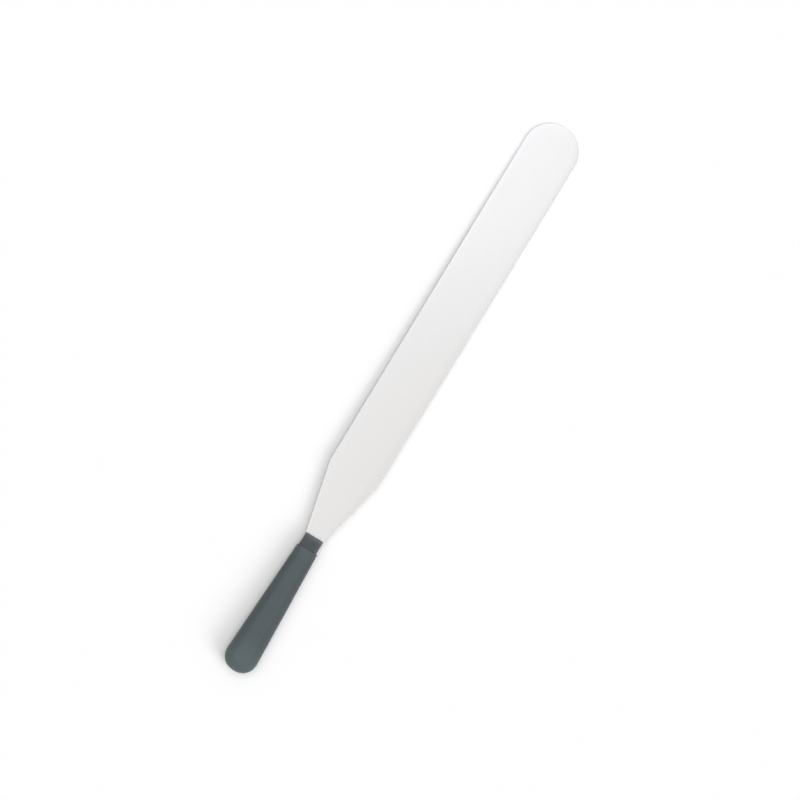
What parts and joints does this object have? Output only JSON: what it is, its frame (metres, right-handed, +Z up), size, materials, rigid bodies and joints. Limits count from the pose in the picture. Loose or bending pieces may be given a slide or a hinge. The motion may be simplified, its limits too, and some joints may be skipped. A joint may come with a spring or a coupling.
{
  "type": "crepe spatula",
  "caption": "Straight crepe spatula: long thin round-tipped steel blade flaring from a narrow neck, with a bare collar and a tapered soft-skinned handle, lying flat.",
  "frame": {"origin": "on the table, under the middle of the spatula as it lies", "axes": "+X along the spatula from the handle to the blade's tip, +Z up from the table"},
  "size_m": [0.4636, 0.0412, 0.0165],
  "materials": {
    "blade_steel": "fine satin, ground along the blade, with a brighter polished rim",
    "core_plastic": "hard moulded plastic, dark blue-grey, fine matt texture",
    "grip_plastic": "soft moulded skin, dark green-grey, matt",
    "pin_steel": "plain drawn steel, hidden"
  },
  "bodies": {
    "root": {"blade": "blade_steel", "handle_core": "core_plastic", "grip_skin": "grip_plastic", "tang_pin_1": "pin_steel", "tang_pin_2": "pin_steel"}
  },
  "joints": []
}
